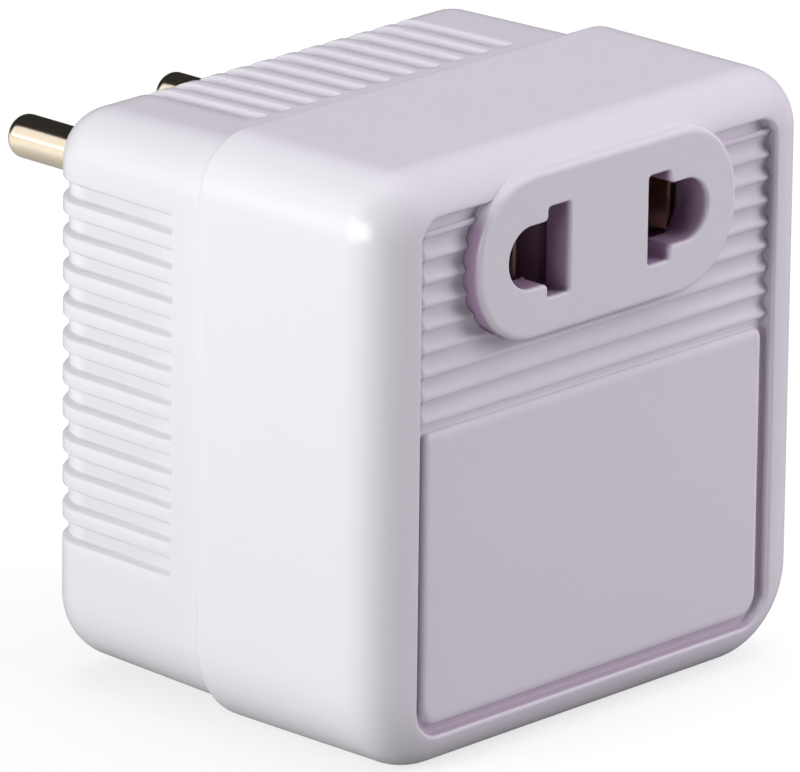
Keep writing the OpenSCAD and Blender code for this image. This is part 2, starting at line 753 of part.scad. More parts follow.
// A point between p[i] and p[i + 1] on a smooth curve through all the points of p
function curve_point(p, i, t) =
    let (
        a = p[max(i - 1, 0)],
        b = p[i],
        c = p[i + 1],
        d = p[min(i + 2, len(p) - 1)]
    )
    b + ((c - a) * t + (2 * a - 5 * b + 4 * c - d) * t * t + (3 * b - a - 3 * c + d) * t * t * t) / 2;

function smooth_route(p) = [
    for (i = [0 : len(p) - 2]) for (s = [0 : wire_steps - 1]) curve_point(p, i, s / wire_steps),
    p[len(p) - 1]
];

function unit(v) = v / norm(v);

// Directions along a route q through the points of p, and sideways directions that turn as little as they can
function headings(q, p) = [
    for (i = [0 : len(q) - 1])
        i == 0 ? unit(p[1] - p[0])
        : i == len(q) - 1 ? unit(p[len(p) - 1] - p[len(p) - 2])
        : unit(q[i + 1] - q[i - 1])
];
function sideways(t, i, before) =
    i == len(t) ? [] : let (s = unit(before - t[i] * (before * t[i]))) concat([s], sideways(t, i + 1, s));

// A tube of radius r along a smooth curve through the points of p
module tube(p, r) {
    q = smooth_route(p);
    t = headings(q, p);
    s = sideways(t, 0, cross(t[0], unit([0.3, 0.5, 0.8])));
    n = wire_sides;
    last = (len(q) - 1) * n;
    points = [
        for (i = [0 : len(q) - 1]) for (k = [0 : n - 1])
            q[i] + r * (s[i] * cos(360 * k / n) + cross(t[i], s[i]) * sin(360 * k / n))
    ];
    walls = [
        for (i = [0 : len(q) - 2]) for (k = [0 : n - 1]) for (half = [0, 1])
            let (a = i * n + k, b = i * n + (k + 1) % n)
            half == 0 ? [a, a + n, b] : [b, a + n, b + n]
    ];
    caps = [
        for (k = [1 : n - 2]) for (end = [0, 1])
            end == 0 ? [0, k, k + 1] : [last, last + k + 1, last + k]
    ];
    polyhedron(points, concat(walls, caps));
}

// The fuse stands against the coil's wrap; its upper wire runs to the first terminal
module thermal_fuse() color([0.85, 0.83, 0.78]) placed() {
    top = fuse_z + fuse_l;
    translate([fuse_x, fuse_y, fuse_z]) cylinder(r = fuse_r, h = fuse_l);
    translate([fuse_x, fuse_y, fuse_z - fuse_stub]) cylinder(r = fuse_wire_r, h = fuse_stub + foot);
    tube([
        [fuse_x, fuse_y, top - foot],
        [fuse_x, fuse_y, top + wire_run],
        [fuse_x, fuse_y, terminal_z],
        [fuse_x, fuse_y - wire_bow, terminal_z + wire_run - wire_bow / 2],
        [fuse_x, terminal_y + wire_bow, terminal_z + wire_run],
        [fuse_x, terminal_y, terminal_z + wire_run / 2],
        [fuse_x, terminal_y, terminal_z]
    ], fuse_wire_r);
}

// From the left pin's lug down beside the fuse and up into it
module lead_live() color([0.2, 0.2, 0.22]) placed() {
    x0 = -pin_spacing / 2;
    x1 = fuse_x - fuse_r - wire_r - fit_gap;
    z1 = fuse_z - fuse_stub;
    tube([
        [x0, lug_mid_y, lug_end_z],
        [x0, lug_mid_y, lug_end_z - wire_run],
        [x1, lug_mid_y, (2 * lug_end_z + z1) / 3],
        [x1, lug_mid_y, z1],
        [x1 + wire_bow / 2, (lug_mid_y + fuse_y) / 2, z1 - wire_run],
        [fuse_x - wire_bow, fuse_y, z1 - wire_run - wire_bow / 2],
        [fuse_x, fuse_y, z1 - wire_run / 2],
        [fuse_x, fuse_y, z1]
    ], wire_r);
}

// From the right pin's lug forward and down to the last terminal
module lead_neutral() color([0.2, 0.2, 0.22]) placed() {
    x0 = pin_spacing / 2;
    x1 = 1.5 * terminal_pitch;
    z0 = lug_end_z + wire_run;
    z1 = terminal_z + wire_run;
    tube([
        [x0, lug_y, z0],
        [x0, lug_y - wire_run, z0],
        [(x0 + x1) / 2, (lug_y + terminal_y) / 2, max(z0, z1) + wire_bow],
        [x1, terminal_y, z1],
        [x1, terminal_y, terminal_z]
    ], wire_r);
}

// From a terminal up to the tail of a contact on the same side
module lead_out(side) {
    x0 = side * terminal_pitch / 2;
    x1 = side * contact_x;
    y1 = holder_back_y + tail_l;
    z0 = terminal_z + wire_run;
    tube([
        [x0, terminal_y, terminal_z],
        [x0, terminal_y, z0],
        [(3 * x0 + x1) / 4, (3 * terminal_y + y1) / 4 + wire_bow, (z0 + outlet_z) / 2],
        [(x0 + 3 * x1) / 4, (terminal_y + 2 * y1) / 3 + wire_bow, (z0 + 4 * outlet_z) / 5],
        [x1, y1 + wire_run, outlet_z],
        [x1, y1, outlet_z]
    ], wire_r);
}

module lead_out_left() color([0.75, 0.15, 0.12]) placed() lead_out(-1);
module lead_out_right() color([0.2, 0.2, 0.22]) placed() lead_out(1);

front_cover();
outlet_face();
rear_housing();
plug_pin(-pin_spacing / 2);  // plug_pin_left
plug_pin(pin_spacing / 2);  // plug_pin_right
pin_lug(-pin_spacing / 2);  // pin_lug_left
pin_lug(pin_spacing / 2);  // pin_lug_right
pin_clamp();
pin_clamp_screw();
outlet_contact_left();
outlet_contact_right();
contact_holder();
contact_holder_screw();
core_e_stack();
core_i_stack();
core_strap();
bobbin();
bobbin_terminals();
winding_inner();
winding_tape();
winding_outer();
winding_wrap();
thermal_fuse();
lead_live();
lead_neutral();
lead_out_left();
lead_out_right();
housing_screws();
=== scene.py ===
"""Looks of the plug-in travel voltage converter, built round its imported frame.

Lengths in the shapes below are millimetres in the rim's frame: X to the right, Y from the rim of the
front cover towards the plug pins, Z up from the base. A mesh gets metres in the frame of the whole part.
"""
import math
from typing import NamedTuple

import bmesh
import bpy
import numpy as np
from mathutils import Matrix, Vector
from mathutils.geometry import tessellate_polygon


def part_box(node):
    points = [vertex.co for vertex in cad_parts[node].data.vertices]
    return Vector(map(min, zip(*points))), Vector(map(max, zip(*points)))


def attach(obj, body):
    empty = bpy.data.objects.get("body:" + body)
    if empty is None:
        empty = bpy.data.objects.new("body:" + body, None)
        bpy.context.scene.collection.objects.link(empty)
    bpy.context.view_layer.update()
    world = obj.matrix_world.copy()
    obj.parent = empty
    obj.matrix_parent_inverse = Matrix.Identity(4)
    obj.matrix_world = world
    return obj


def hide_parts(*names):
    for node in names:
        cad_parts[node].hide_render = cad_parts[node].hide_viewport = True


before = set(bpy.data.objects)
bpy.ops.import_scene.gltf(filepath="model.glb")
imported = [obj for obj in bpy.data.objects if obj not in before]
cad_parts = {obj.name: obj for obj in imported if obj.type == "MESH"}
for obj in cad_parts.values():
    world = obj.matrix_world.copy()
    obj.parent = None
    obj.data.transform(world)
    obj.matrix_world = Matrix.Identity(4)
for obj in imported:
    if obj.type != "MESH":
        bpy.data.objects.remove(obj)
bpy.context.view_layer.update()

PI = math.pi
MM = 0.001


class Outline(NamedTuple):
    """A rectangle with round corners, seen from the front: half its width, its heights and its radii."""

    half: float
    low: float
    high: float
    r_top: float
    r_low: float


def box_mm(node):
    """A node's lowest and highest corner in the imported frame, in millimetres to a thousandth."""
    return np.round(np.array(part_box(node)) / MM, 3).tolist()


cover_low, cover_high = box_mm("front_cover")
face_low, face_high = box_mm("outlet_face")
rear_low, rear_high = box_mm("rear_housing")
pin_high = box_mm("plug_pin_right")[1]
RIM_Y = cover_low[1]

# Front cover
COVER = Outline(cover_high[0], cover_low[2], cover_high[2], r_top=5.6, r_low=8.5)
COVER_DEPTH, COVER_FRONT_ROUND, COVER_BACK_ROUND, WALL = 22.2, 4.5, 0.9, 2.2
FRONT_INNER_Y = 3.4

# Recess, panel and ridges; the lap is how far the rows of the recess's wall run in over its floor
RECESS = Outline(22.4, 3.6, 50.1, r_top=2.0, r_low=3.0)
RECESS_FLOOR, RECESS_LAP = 1.2, 1.9
PANEL = Outline(21.5, 4.5, 30.9, r_top=0.9, r_low=2.1)
PANEL_Y = 0.45
RIDGE_FIRST, RIDGE_PITCH, RIDGE_COUNT, RIDGE_W = 32.0, 2.08, 9, 0.3
RIDGE_CREST_Y, FLUTE_DEPTH = 0.75, 0.42

# Outlet face and its openings
FACE = Outline(face_high[0], face_low[2], face_high[2], r_top=7.0, r_low=7.0)
FACE_Y, FACE_INNER_Y, FACE_GAP = face_low[1] - RIM_Y, 2.0, 0.1
OUTLET_Z = (FACE.low + FACE.high) / 2
SLOT_IN, SLOT_OUT, SLOT_HALF, SLOT_CORNER = 4.95, 7.75, 4.05, 0.35
HOLE_R, HOLE_OUT, HOLE_CORNER = 2.8, 12.6, 0.5

# Rear housing; a groove's wall is soft, and its outer edge lies a little beyond half the groove's width
REAR = Outline(rear_high[0], rear_low[2], rear_high[2], r_top=5.2, r_low=6.8)
REAR_ROUND, REAR_DRAFT = 4.6, 0.45
BACK_Y, BACK_INNER_Y = rear_high[1] - RIM_Y, 40.0
ROUND_START_Y = BACK_Y - REAR_ROUND
GROOVE_PITCH, GROOVE_COUNT, GROOVE_W, GROOVE_DEPTH = 3.1, 11, 1.4, 0.75
GROOVE_START, GROOVE_SIDE_Z = 26.1, 29.5
GROOVE_EDGE, GROOVE_SOFT = GROOVE_W / 2 + 0.3, 0.5
WELL_R, WELL_FLOOR_Y, WELL_LIP = 1.95, 37.2, 0.2
WELLS = [(side * x, z) for x, z in ((18.7, 8.7), (17.95, 44.9)) for side in (-1, 1)]

# Plug pins
PIN_X, PIN_Z, PIN_R, PIN_TIP_ROUND = 9.3, 41.9, 2.0, 1.2
PIN_TIP_Y = pin_high[1] - RIM_Y
PIN_SHOULDER_R, PIN_HOLE_R, PIN_HOLE_LIP = 2.4, 2.5, 0.15

# Distances in metres below which points are one, and slack in millimetres for picking CAD points
WELD, SLIVER = 2e-7, 1e-8
SLACK, WALL_SLACK = 0.01, 0.02


# Shapes

class Skin:
    """Collects patches of one piece, in millimetres, and makes them one mesh object."""

    def __init__(self):
        """Starts empty; starts lists the first point of each group that is welded by itself."""
        self.points, self.faces, self.count, self.starts = [], [], 0, [0]

    def add(self, points, faces):
        """Adds an array of points and an array of faces that index them."""
        self.points.append(points)
        self.faces.extend((faces + self.count).tolist())
        self.count += len(points)

    def grid(self, rows, closed=False):
        """A surface given on a grid: a quad's normal is the column step crossed with the row step."""
        n_row, n_col = rows.shape[:2]
        r = np.arange(n_row - 1)[:, None]
        c = np.arange(n_col if closed else n_col - 1)[None, :]
        c1 = (c + 1) % n_col
        quads = np.stack(np.broadcast_arrays(r * n_col + c, r * n_col + c1,
                                             (r + 1) * n_col + c1, (r + 1) * n_col + c), -1)
        self.add(rows.reshape(-1, 3), quads.reshape(-1, 4))

    def flat(self, y, toward, *rings):
        """A flat face across Y, inside the first ring and outside the others.

        Each triangle is turned so that its normal along Y has the sign of toward.
        """
        loops = [[Vector((x, z, 0)) for x, z in ring] for ring in rings]
        tri = np.array(tessellate_polygon(loops))
        xz = np.concatenate(rings)
        a, b, c = xz[tri[:, 0]], xz[tri[:, 1]], xz[tri[:, 2]]
        turn = (b[:, 0] - a[:, 0]) * (c[:, 1] - a[:, 1]) - (b[:, 1] - a[:, 1]) * (c[:, 0] - a[:, 0])
        tri = np.where((turn * toward > 0)[:, None], tri[:, ::-1], tri)
        self.add(lifted(xz, y), tri)

    def kept(self, node, keep):
        """Adds, as a group of its own, those triangles of a CAD node whose corners all fulfil keep."""
        self.starts.append(self.count)
        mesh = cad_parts[node].data
        co = np.empty(len(mesh.vertices) * 3, np.float32)
        mesh.vertices.foreach_get("co", co)
        points = co.reshape(-1, 3).astype(float) / MM - (0, RIM_Y, 0)
        mesh.calc_loop_triangles()
        tri = np.empty(len(mesh.loop_triangles) * 3, np.int32)
        mesh.loop_triangles.foreach_get("vertices", tri)
        tri = tri.reshape(-1, 3)
        self.add(points, tri[keep(points)[tri].all(1)])

    def build(self, name, sharp_degrees=35):
        """Welds the patches of each group, drops loose points and marks edges sharper than an angle."""
        points = (np.concatenate(self.points) + (0, RIM_Y, 0)) * MM
        mesh = bpy.data.meshes.new(name)
        mesh.from_pydata(points.tolist(), [], self.faces)
        work = bmesh.new()
        work.from_mesh(mesh)
        every = list(work.verts)
        for start, end in zip(self.starts, self.starts[1:] + [len(every)]):
            bmesh.ops.remove_doubles(work, verts=every[start:end], dist=WELD)
        bmesh.ops.dissolve_degenerate(work, edges=work.edges, dist=SLIVER)
        bmesh.ops.delete(work, geom=[v for v in work.verts if not v.link_faces], context="VERTS")
        work.to_mesh(mesh)
        work.free()
        mesh.shade_smooth()
        mesh.set_sharp_from_angle(angle=math.radians(sharp_degrees))
        piece = bpy.data.objects.new(name, mesh)
        bpy.context.scene.collection.objects.link(piece)
        return piece


def quarter(steps):
    """Angles of a quarter turn, from zero to a right angle in even steps."""
    return np.linspace(0, PI / 2, steps + 1)


def smooth(t):
    """A soft step: three times the square less twice the cube, for shares from zero to one."""
    return t * t * (3 - 2 * t)


def rounded_ring(outline, x_low, x_high, z_side, bend=18):
    """Points along a rounded outline, counter-clockwise seen from the front.

    Straight runs pass through the given places; each corner is an arc of bend steps. Returns the points
    and their outward normals, so the point minus d times its normal lies on the outline set in by d.
    """
    half, low, high, r_top, r_low = outline
    turn = quarter(bend)

    def arc(cx, cz, r, start):
        """A quarter circle about a middle, from the angle start."""
        n = np.column_stack([np.cos(start + turn), np.sin(start + turn)])
        return np.array([cx, cz]) + r * n, n

    def run(x, z, n):
        """A straight run with one normal."""
        p = np.column_stack(np.broadcast_arrays(x, z)).astype(float)
        return p, np.broadcast_to(np.array(n, float), p.shape)

    parts = [
        run(x_low, low, (0, -1)),
        arc(half - r_low, low + r_low, r_low, -PI / 2),
        run(half, z_side, (1, 0)),
        arc(half - r_top, high - r_top, r_top, 0),
        run(x_high[::-1], high, (0, 1)),
        arc(r_top - half, high - r_top, r_top, PI / 2),
        run(-half, z_side[::-1], (-1, 0)),
        arc(r_low - half, low + r_low, r_low, PI),
    ]
    return np.concatenate([p for p, _ in parts]), np.concatenate([n for _, n in parts])


def even_ring(outline, steps=24, bend=18):
    """A rounded outline whose straight runs are divided evenly."""
    half, low, high, r_top, r_low = outline
    t = np.linspace(0, 1, steps + 1)[1:-1]
    z_side = low + r_low + t * (high - low - r_low - r_top)
    return rounded_ring(outline, (2 * t - 1) * (half - r_low), (2 * t - 1) * (half - r_top), z_side, bend)


def circle_ring(x, z, steps=48):
    """A circle about a point, as an outline of no size and its outward normals."""
    t = np.linspace(0, 2 * PI, steps, endpoint=False)
    n = np.column_stack([np.cos(t), np.sin(t)])
    return np.broadcast_to((x, z), n.shape), n


def lifted(xz, y):
    """Places outline points at the depth y, a number or one value for each point."""
    return np.stack(np.broadcast_arrays(xz[..., 0], y, xz[..., 1]), -1)


def seen_from_front(row):
    """The outline points of a row, without their depth."""
    return row[:, [0, 2]]


def swept(ring, normal, inset, y):
    """Rows of an outline set in by inset at the depth y, one row for each pair of values."""
    return np.stack([lifted(ring - normal * np.reshape(d, (-1, 1)), h) for d, h in zip(inset, y)])


def inset_depth(x, z, outline):
    """How far a point lies inside a rounded outline: its distance to the nearest edge or corner arc."""
    half, low, high, r_top, r_low = outline
    middle = (low + high) / 2
    r = np.where(z > middle, r_top, r_low)
    qx = np.abs(x) - half + r
    qz = np.abs(z - middle) - (high - low) / 2 + r
    return r - np.hypot(np.maximum(qx, 0), np.maximum(qz, 0)) - np.minimum(np.maximum(qx, qz), 0)


def cover_front_y(inset):
    """Depth of the cover's front at a distance from its outline: a quarter circle, then the flat rim."""
    rest = np.maximum(COVER_FRONT_ROUND - inset, 0)
    return COVER_FRONT_ROUND - np.sqrt(np.maximum(COVER_FRONT_ROUND ** 2 - rest ** 2, 0))


def cover_walls(skin):
    """Outer walls, front rounding, rim and recess of the cover, as rows of nested outlines.

    The rows run from the back edge over the side and the front rounding to the recess. Between the side
    and the recess each point moves straight from outline to outline, and its depth is that of the
    rounding at its distance from the outer outline. A small rounding leads down the recess's wall.
    """
    edge, foot, foot_end, back_flat, front_rows = 0.28, 0.3, 0.45, 0.2, 26
    side_y = [20.5, 17.0, 12.5, 8.0, 4.7, COVER_FRONT_ROUND]
    outer, n = even_ring(COVER)
    inner, m = even_ring(RECESS)

    a = quarter(8)[::-1]
    back_inset = [WALL, COVER_BACK_ROUND + back_flat, *COVER_BACK_ROUND * (1 - np.cos(a))]
    back_y = [COVER_DEPTH, COVER_DEPTH, *(COVER_DEPTH - COVER_BACK_ROUND * (1 - np.sin(a)))]
    rows = [swept(outer, n, back_inset, back_y), swept(outer, n, [0] * len(side_y), side_y)]

    goal = inner + m * edge
    reach = inset_depth(goal[:, 0], goal[:, 1], COVER)
    end = np.arccos(1 - np.minimum(reach / COVER_FRONT_ROUND, 1))
    length = COVER_FRONT_ROUND * end + np.maximum(reach - COVER_FRONT_ROUND, 0)
    along = np.linspace(0, 1, front_rows + 1)[1:, None] * length
    angle = np.minimum(along / COVER_FRONT_ROUND, end)
    depth = COVER_FRONT_ROUND * (1 - np.cos(angle)) + np.maximum(along - COVER_FRONT_ROUND * end, 0)
    front = outer + (goal - outer) * (depth / reach)[..., None]
    rows.append(lifted(front, cover_front_y(inset_depth(front[..., 0], front[..., 1], COVER))))

    top_y = cover_front_y(reach)
    a = quarter(6)[1:]
    rows.append(swept(inner, m, -edge * (1 - np.sin(a)), [top_y + edge * (1 - np.cos(v)) for v in a]))
    rows.append(swept(inner, m, [0], [RECESS_FLOOR - foot]))
    rows.append(swept(inner, m, foot * (1 - np.cos(a)), RECESS_FLOOR - foot * (1 - np.sin(a))))
    rows.append(swept(inner, m, [foot_end, RECESS_LAP], [RECESS_FLOOR, RECESS_FLOOR]))
    skin.grid(np.concatenate(rows), closed=True)


def channel_floor(skin):
    """The strip of recess floor between the panel and the lowest ridge, running a little under both."""
    under_panel, under_ridge = 1.0, 0.8
    x = np.array([RECESS_LAP - RECESS.half, 0.0, RECESS.half - RECESS_LAP])
    z = np.array([PANEL.high - under_panel, RIDGE_FIRST + under_ridge])
    gx, gz = np.meshgrid(x, z)
    skin.grid(np.stack([gx, np.full(gx.shape, RECESS_FLOOR), gz], -1))


def flat_panel(skin):
    """The raised panel: an outline that rises from the floor with a soft foot and a soft upper edge.

    The edge is a quarter of an ellipse, and one more row inside it keeps the front's shading flat.
    """
    edge, drop, foot, inner_row = 0.8, 0.4, 0.16, 0.12
    ring, n = even_ring(PANEL, bend=10)
    a = quarter(9)
    inset = [*(-foot * (1 - np.sin(a))), *(edge * (1 - np.cos(a))), edge + inner_row]
    y = [*(RECESS_FLOOR - foot * (1 - np.cos(a))), *(PANEL_Y + drop * (1 - np.sin(a))), PANEL_Y]
    rows = swept(ring, n, inset, y)
    skin.grid(rows, closed=True)
    skin.flat(PANEL_Y, -1, seen_from_front(rows[-1]))


def face_half_width(z, gap):
    """Half the width of the outlet face's outline, widened by gap, at a height: zero above and below it."""
    r = FACE.r_top + gap
    up = np.maximum(np.abs(z - OUTLET_Z) - (FACE.high - FACE.low) / 2 + FACE.r_top, 0)
    return np.where(up < r, FACE.half - FACE.r_top + np.sqrt(np.maximum(r ** 2 - up ** 2, 0)), 0)


def ridge_bed(skin):
    """The ridges: a profile over Z carried along X.

    Each flute is a circular arc between two flat crests; the deeper of arc and crest counts, and a
    quadratic blend rounds the crest's edges. Both ends of the bed step down to the recess's floor. The
    rows stop at the outlet face's seat and step down to the floor there.
    """
    steps, soft, end_round, end_drop, end_below = 28, 0.07, 0.1, 0.2, 0.1
    chord = RIDGE_PITCH - RIDGE_W
    radius = (chord ** 2 / 4 + FLUTE_DEPTH ** 2) / (2 * FLUTE_DEPTH)
    last = RIDGE_FIRST + (RIDGE_COUNT - 1) * RIDGE_PITCH
    z = np.linspace(RIDGE_FIRST, last, (RIDGE_COUNT - 1) * steps + 1)
    off = (z - RIDGE_FIRST) % RIDGE_PITCH - RIDGE_PITCH / 2
    flute = RIDGE_CREST_Y + FLUTE_DEPTH - radius + np.sqrt(np.maximum(radius ** 2 - off ** 2, 0))
    near = np.maximum(soft - np.abs(flute - RIDGE_CREST_Y), 0) / soft
    y = np.maximum(flute, RIDGE_CREST_Y) + near ** 2 * soft / 4

    half, a = RIDGE_W / 2, quarter(4)[::-1]
    end_z = np.concatenate([[half + end_round] * 2, half + end_round * np.sin(a)])
    end_y = np.concatenate([[RECESS_FLOOR + end_below, RECESS_FLOOR - end_drop],
                            RIDGE_CREST_Y + end_round * (1 - np.cos(a))])
    z = np.concatenate([RIDGE_FIRST - end_z, z, last + end_z[::-1]])
    y = np.concatenate([end_y, y, end_y[::-1]])

    stop = face_half_width(z, FACE_GAP)
    floor = np.maximum(y, RECESS_FLOOR)
    left = np.stack([np.column_stack([np.full(z.shape, -RECESS.half), y, z]),
                     np.column_stack([-stop, y, z]), np.column_stack([-stop, floor, z])], 1)
    skin.grid(left)
    skin.grid(left[:, ::-1] * (-1, 1, 1))


def opening_ring(bend=24):
    """Outline of the right opening: a tall slot joined to a round end, every corner a quarter circle.

    A corner between the directions a and b is the arc a cos t + b sin t in direction. Returns the points
    and the normals that point out of the opening into the face.
    """
    lower = np.array([[SLOT_IN, -SLOT_HALF], [SLOT_OUT, -SLOT_HALF],
                      [SLOT_OUT, -HOLE_R], [HOLE_OUT, -HOLE_R]])
    corner = np.concatenate([lower, lower[::-1] * (1, -1)])
    lower_r = np.array([SLOT_CORNER, SLOT_CORNER, HOLE_CORNER, HOLE_R])
    radius = np.concatenate([lower_r, lower_r[::-1]])[:, None, None]
    a = corner - np.roll(corner, 1, 0)
    a /= np.linalg.norm(a, axis=1, keepdims=True)
    b = np.roll(a, -1, 0)
    t = quarter(bend)[None, :, None]
    a, b = a[:, None, :], b[:, None, :]
    points = corner[:, None, :] + radius * (b - a + a * np.sin(t) - b * np.cos(t))
    heading = a * np.cos(t) + b * np.sin(t)
    normal = np.stack([heading[..., 1], -heading[..., 0]], -1)
    return points.reshape(-1, 2) + (0, OUTLET_Z), normal.reshape(-1, 2)


def outlet_plate(skin):
    """The outlet face's plate: outline rows up its wall and over its edge, a flat front, and two openings.

    The openings' rows run from the flat front over a soft edge down the tunnel to the inner face. One more
    row beside each soft edge keeps the front's shading flat.
    """
    edge, edge_row, lip, lip_row, tunnel_y = 0.55, 0.15, 0.24, 0.1, 0.6
    ring, n = even_ring(FACE, steps=8, bend=30)
    a = quarter(8)
    inset = [0, *(edge * (1 - np.cos(a))), edge + edge_row]
    y = [RECESS_FLOOR, *(FACE_Y + edge * (1 - np.sin(a))), FACE_Y]
    plate = swept(ring, n, inset, y)
    skin.grid(plate, closed=True)

    hole, m = opening_ring()
    a = quarter(5)
    inset = [-lip - lip_row, *(-lip * (1 - np.sin(a))), 0, 0]
    y = [FACE_Y, *(FACE_Y + lip * (1 - np.cos(a))), tunnel_y, FACE_INNER_Y]
    right = swept(hole, m, inset, y)
    left = right[:, ::-1] * (-1, 1, 1)
    skin.grid(right, closed=True)
    skin.grid(left, closed=True)
    skin.flat(FACE_Y, -1, *[seen_from_front(row) for row in (plate[-1], right[0], left[0])])


def first_groove(middle):
    """The place of the first groove of a row about a middle."""
    return middle - (GROOVE_COUNT - 1) / 2 * GROOVE_PITCH


def groove_share(place, middle):
    """Share of the groove's depth at a place along a face: one in a groove, zero on a rib, soft between."""
    first = first_groove(middle)
    index = np.clip(np.round((place - first) / GROOVE_PITCH), 0, GROOVE_COUNT - 1)
    off = np.abs(place - first - index * GROOVE_PITCH)
    return smooth(np.clip((GROOVE_EDGE - off) / GROOVE_SOFT, 0, 1))


def groove_marks(middle, low, high):
    """Places along a face that follow each groove's edges closely, with plain steps beyond the row."""
    margin, floor, plain = 0.02, 0.2, 5
    wall = np.linspace(GROOVE_EDGE - GROOVE_SOFT - margin, GROOVE_EDGE + margin, 8)
    across = np.concatenate([-wall[::-1], [-floor, floor], wall, [GROOVE_PITCH / 2]])
    marks = (first_groove(middle) + GROOVE_PITCH * np.arange(GROOVE_COUNT)[:, None] + across).ravel()
    return np.concatenate([np.linspace(low, marks[0], plain)[1:-1], marks,
                           np.linspace(marks[-1], high, plain)[1:-1]])


def rear_walls(skin):
    """Outer walls of the rear housing, with the grip grooves, as rows of one outline.

    Every row sets the outline in by the draft, the back rounding's quarter circle and the groove's depth,
    so a groove keeps its depth across the face and fades into the flat back. Along Y a groove starts
    softly. The last row lies on the flat back and is calm: it follows the row of grooves as a whole.
    Returns that row's outline.
    """
    run, first_y, plain_y = 0.5, 24.0, [28, 31, 34, 37.2]
    calm_row, calm_less, row_end, row_fade = 0.1, 0.05, 16.4, 0.5
    x_high = groove_marks(0, REAR.r_top - REAR.half, REAR.half - REAR.r_top)
    x_low = groove_marks(0, REAR.r_low - REAR.half, REAR.half - REAR.r_low)
    z_side = groove_marks(GROOVE_SIDE_Z, REAR.low + REAR.r_low, REAR.high - REAR.r_top)
    ring, n = rounded_ring(REAR, x_low, x_high, z_side)
    straight = np.abs(n).max(1) > 0.9999
    upright = np.abs(n[:, 0]) > 0.5
    share = np.where(upright, groove_share(ring[:, 1], GROOVE_SIDE_Z), groove_share(ring[:, 0], 0))
    share = np.where(straight, share, 0)

    start_y = GROOVE_START + run * (np.linspace(0, 1, 9) - 0.5)
    y = np.concatenate([[COVER_DEPTH, first_y, GROOVE_START - run], start_y, plain_y])
    fade = smooth(np.clip((y - GROOVE_START) / run + 0.5, 0, 1))
    draft = REAR_DRAFT * (y - COVER_DEPTH) / (ROUND_START_Y - COVER_DEPTH)
    turn = quarter(18)
    inset = np.concatenate([draft, REAR_DRAFT + REAR_ROUND * (1 - np.cos(turn))])
    fade = np.concatenate([fade, np.ones(len(turn))])
    y = np.concatenate([y, ROUND_START_Y + REAR_ROUND * np.sin(turn)])
    rows = swept(ring, n, inset[:, None] + GROOVE_DEPTH * fade[:, None] * share, y)

    along = np.where(upright, np.abs(ring[:, 1] - GROOVE_SIDE_Z), np.abs(ring[:, 0]))
    beyond = np.clip((along - row_end) / row_fade, 0, 1)
    sunk = np.where(straight, (GROOVE_DEPTH - calm_less) * (1 - beyond), 0)
    calm = swept(ring, n, [REAR_DRAFT + REAR_ROUND + calm_row + sunk], [BACK_Y])
    skin.grid(np.concatenate([rows, calm])[::-1], closed=True)
    return seen_from_front(calm[0])


def rear_back(skin, ring):
    """The flat back with screw wells and pin holes: circles whose rows turn inwards over a soft edge."""
    flat_row = 0.1
    wells = [(x, z, WELL_R, WELL_FLOOR_Y, WELL_LIP) for x, z in WELLS]
    bores = [(x, PIN_Z, PIN_HOLE_R, BACK_INNER_Y, PIN_HOLE_LIP) for x in (-PIN_X, PIN_X)]
    mouths = []
    a = quarter(4)
    for x, z, r, floor_y, lip in wells + bores:
        middle, n = circle_ring(x, z)
        radius = [r + lip + flat_row, *(r + lip * (1 - np.sin(a))), r]
        y = [BACK_Y, *(BACK_Y - lip * (1 - np.cos(a))), floor_y]
        rows = swept(middle, n, -np.array(radius), y)
        skin.grid(rows[::-1], closed=True)
        mouths.append(seen_from_front(rows[0]))
    skin.flat(BACK_Y, 1, ring, *mouths)


def turned_pin(x, node):
    """A plug pin: a profile of radius over Y turned about its axis.

    The profile has a shoulder in the back wall, a plain barrel and a round tip.
    """
    shoulder_edge, barrel_y = 0.1, [44.0, 52.0, 59.6]
    a = quarter(8)
    y = np.concatenate([[BACK_INNER_Y, BACK_Y - shoulder_edge, BACK_Y, BACK_Y, *barrel_y],
                        PIN_TIP_Y - PIN_TIP_ROUND * (1 - np.sin(a)), [PIN_TIP_Y]])
    r = np.concatenate([[PIN_SHOULDER_R, PIN_SHOULDER_R, PIN_SHOULDER_R - shoulder_edge, PIN_R],
                        [PIN_R] * len(barrel_y), PIN_R - PIN_TIP_ROUND * (1 - np.cos(a)), [0.0]])
    middle, n = circle_ring(x, PIN_Z, steps=64)
    skin = Skin()
    skin.grid(swept(middle, n, -r, y)[::-1], closed=True)
    skin.kept(node, lambda p: p[:, 1] < BACK_INNER_Y + SLACK)
    return skin.build(node + "_turned")


def in_cover(p):
    """True for points of the cover's inside: its cavity, or the seat and window of the outlet face."""
    inset = inset_depth(p[:, 0], p[:, 2], COVER)
    seat = inset_depth(p[:, 0], p[:, 2], FACE)
    cavity = p[:, 1] > FRONT_INNER_Y - SLACK
    window = (p[:, 1] > RECESS_FLOOR - SLACK) & (seat > -FACE_GAP - SLACK)
    return (inset > WALL - WALL_SLACK) & (cavity | window)


def in_rear(p):
    """True for points of the rear housing's inside: the tongue, or the cavity in front of the back wall."""
    inset = inset_depth(p[:, 0], p[:, 2], REAR)
    tongue = p[:, 1] < COVER_DEPTH + SLACK
    return tongue | ((p[:, 1] < BACK_INNER_Y + SLACK) & (inset > WALL - WALL_SLACK))


def front_cover_piece():
    """The front cover: its walls, recess, panel and ridges outside, and the CAD node's own inside."""
    skin = Skin()
    cover_walls(skin)
    channel_floor(skin)
    flat_panel(skin)
    ridge_bed(skin)
    skin.kept("front_cover", in_cover)
    return skin.build("front_cover_shell")


